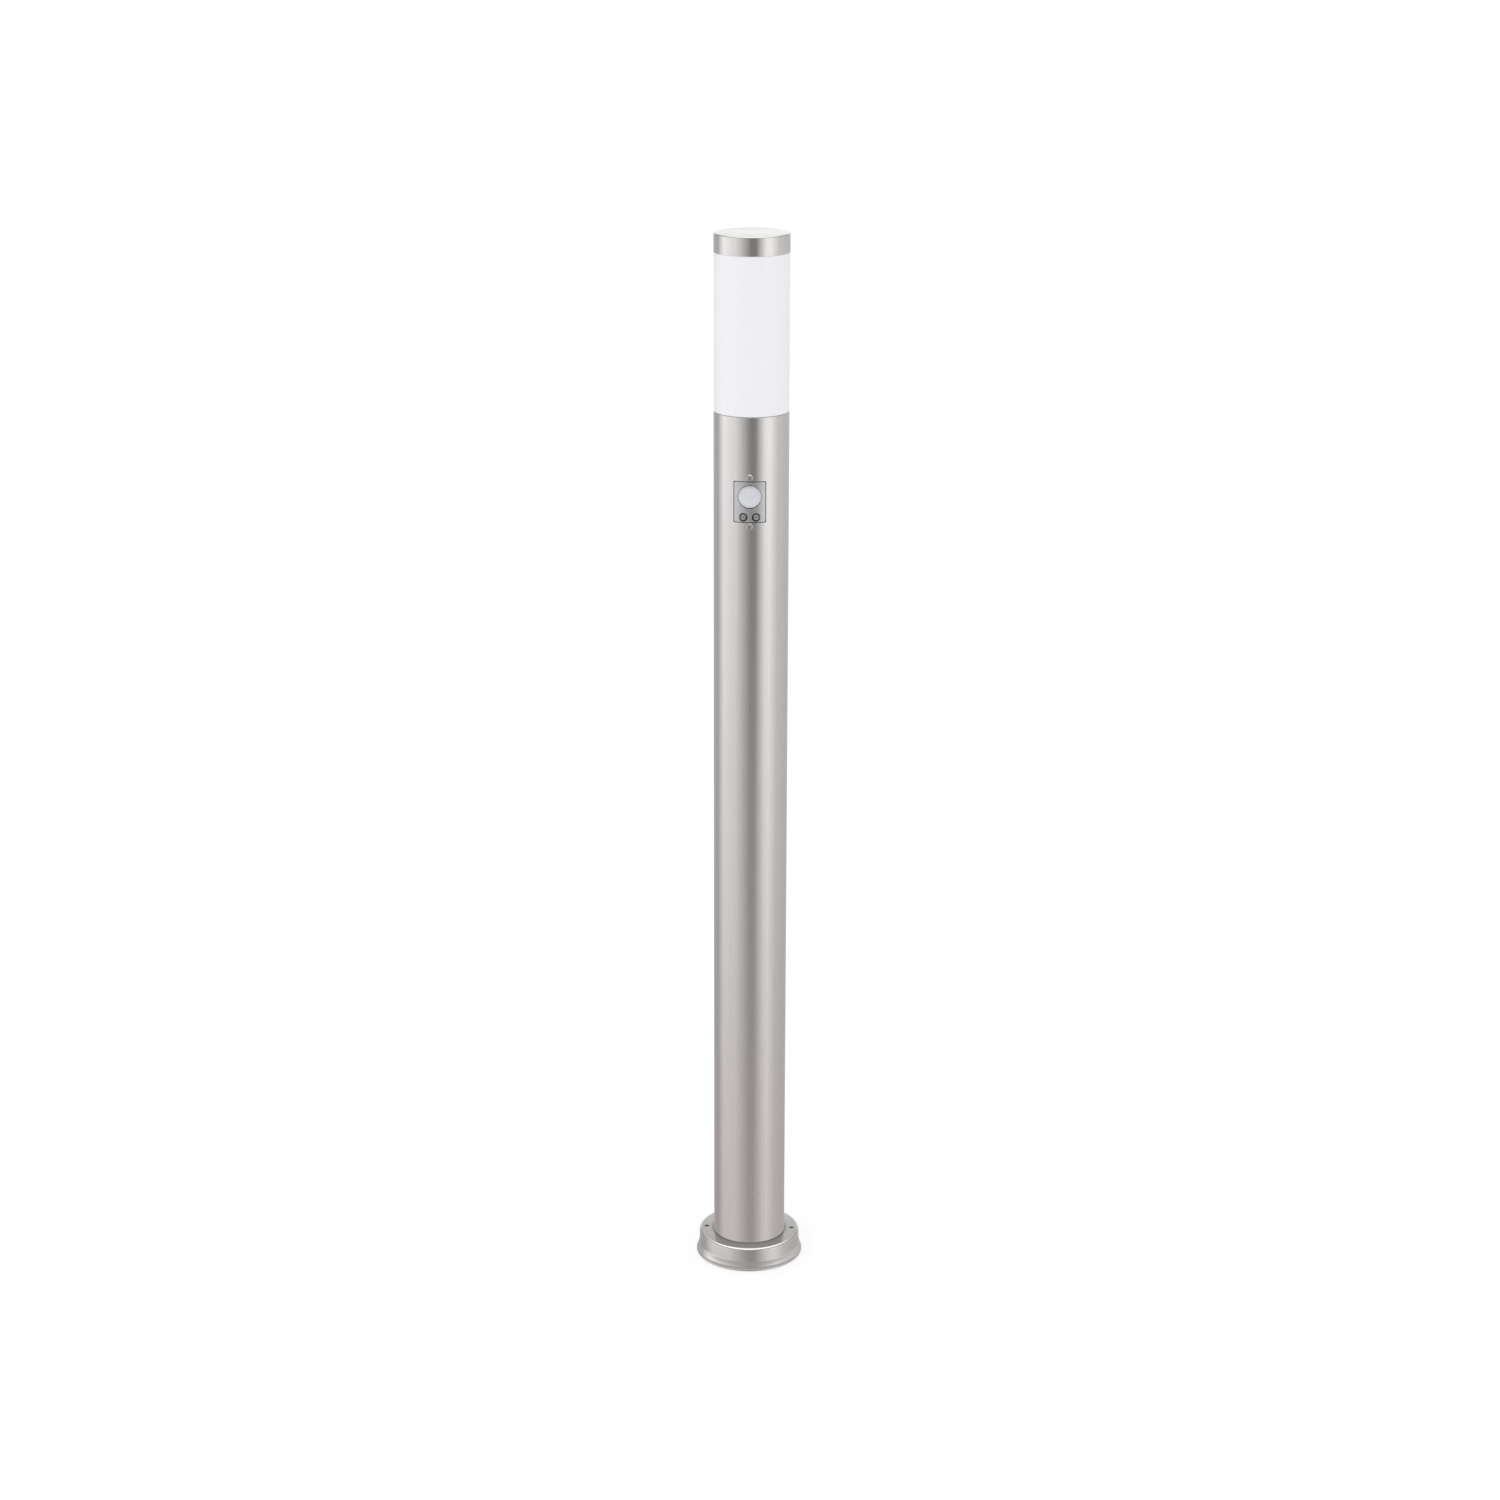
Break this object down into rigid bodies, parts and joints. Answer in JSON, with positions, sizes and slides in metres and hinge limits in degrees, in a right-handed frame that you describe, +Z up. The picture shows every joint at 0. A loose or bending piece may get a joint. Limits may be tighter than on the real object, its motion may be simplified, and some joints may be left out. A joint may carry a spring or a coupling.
{
  "type": "bollard light",
  "caption": "Round brushed stainless steel garden bollard light with an opal diffuser under a flat cap, a motion sensor let into the post and a flanged base cover.",
  "frame": {"origin": "centre of the base's underside, on the ground", "axes": "+Z up along the post, -Y out of the sensor's face, +X to the right seen from the front"},
  "size_m": [0.1136, 0.1136, 1.1],
  "materials": {
    "brushed_stainless": "brushed",
    "zinc_plated_steel": "satin",
    "screw_steel": "polished",
    "cast_aluminium": "satin",
    "opal_plastic": "satin",
    "sensor_grey": "matte",
    "lens_white": "satin",
    "white_plastic": "matte",
    "ceramic_white": "gloss",
    "black_plastic": "matte",
    "dark_grey_plastic": "matte",
    "blue_plastic": "gloss",
    "yellow_plastic": "gloss",
    "green_plastic": "gloss",
    "circuit_board": "satin",
    "brass": "satin",
    "nickel": "polished",
    "black_rubber": "matte",
    "grey_rubber": "matte",
    "silicone": "satin",
    "bulb_opal": "satin",
    "brown_insulation": "matte",
    "blue_insulation": "matte",
    "earth_insulation": "matte",
    "cable_sheath": "matte"
  },
  "bodies": {
    "pole": {"pole_tube": "brushed_stainless", "base_cover": "brushed_stainless", "base_gasket": "black_rubber", "foot_plate": "zinc_plated_steel", "foot_insert": "cast_aluminium", "foot_washers": "zinc_plated_steel", "foot_bolts": "zinc_plated_steel", "ground_bracket": "zinc_plated_steel", "bracket_nuts": "zinc_plated_steel", "cable_grommet": "black_rubber", "terminal_block": "white_plastic", "terminal_sleeves": "brass", "terminal_clamp_screws": "screw_steel", "terminal_fixing_screw": "screw_steel", "earth_tag": "brass", "earth_screw": "brass", "live_wire": "brown_insulation", "neutral_wire": "blue_insulation", "earth_wire": "earth_insulation", "switched_live_wire": "brown_insulation", "lamp_neutral_wire": "blue_insulation", "inner_cable": "cable_sheath", "sensor_gasket": "grey_rubber", "sensor_face": "sensor_grey", "sensor_screws": "screw_steel", "sensor_lens": "lens_white", "sensor_rear_cover": "dark_grey_plastic", "rear_cover_screws": "screw_steel", "sensor_circuit_board": "circuit_board", "pyro_sensor": "nickel", "relay": "blue_plastic", "film_capacitor": "yellow_plastic", "storage_capacitors": "black_plastic", "supply_wire_terminal": "green_plastic", "lamp_wire_terminal": "green_plastic", "adjuster_bodies": "blue_plastic", "socket_ring": "white_plastic", "lampholder_bracket": "zinc_plated_steel", "bracket_screws": "screw_steel", "lampholder_body": "ceramic_white", "lampholder_screws": "screw_steel", "lampholder_shell": "nickel", "lampholder_contact": "brass", "cover_disc": "white_plastic", "shade_ring": "ceramic_white"},
    "head_seal": {"head_o_ring": "black_rubber"},
    "head": {"head_collar": "white_plastic", "diffuser": "opal_plastic", "cap_seal": "silicone", "top_cap": "brushed_stainless"},
    "bulb_contact": {"bulb_tip": "nickel"},
    "bulb": {"bulb_insulator": "black_plastic", "bulb_screw_cap": "nickel", "bulb_housing": "white_plastic", "bulb_globe": "bulb_opal"},
    "time_adjuster": {"time_adjuster": "dark_grey_plastic"},
    "light_level_adjuster": {"light_level_adjuster": "dark_grey_plastic"}
  },
  "joints": [
    {"name": "head_lift", "type": "slide", "parent": "pole", "child": "head_seal", "axis": [0, 0, 1], "range_m": [0, 0.2]},
    {"name": "head_turn", "type": "hinge", "parent": "head_seal", "child": "head", "pos_m": [0, 0, 0.923], "axis": [0, 0, 1], "range_deg": [0, 28]},
    {"name": "bulb_rise", "type": "slide", "parent": "pole", "child": "bulb_contact", "axis": [0, 0, 1], "range_m": [0, 0.0127]},
    {"name": "bulb_turn", "type": "hinge", "parent": "bulb_contact", "child": "bulb", "pos_m": [0, 0, 0.93], "axis": [0, 0, 1], "range_deg": [0, 1260]},
    {"name": "time_adjuster_turn", "type": "hinge", "parent": "pole", "child": "time_adjuster", "pos_m": [-0.0065, -0.033, 0.8226], "axis": [0, -1, 0], "range_deg": [-135, 135]},
    {"name": "light_level_adjuster_turn", "type": "hinge", "parent": "pole", "child": "light_level_adjuster", "pos_m": [0.0065, -0.033, 0.8226], "axis": [0, -1, 0], "range_deg": [-135, 135]}
  ],
  "couplings": [
    {"joint": "bulb_turn", "follows": "bulb_rise", "rad_per_m": 1730.9}
  ]
}
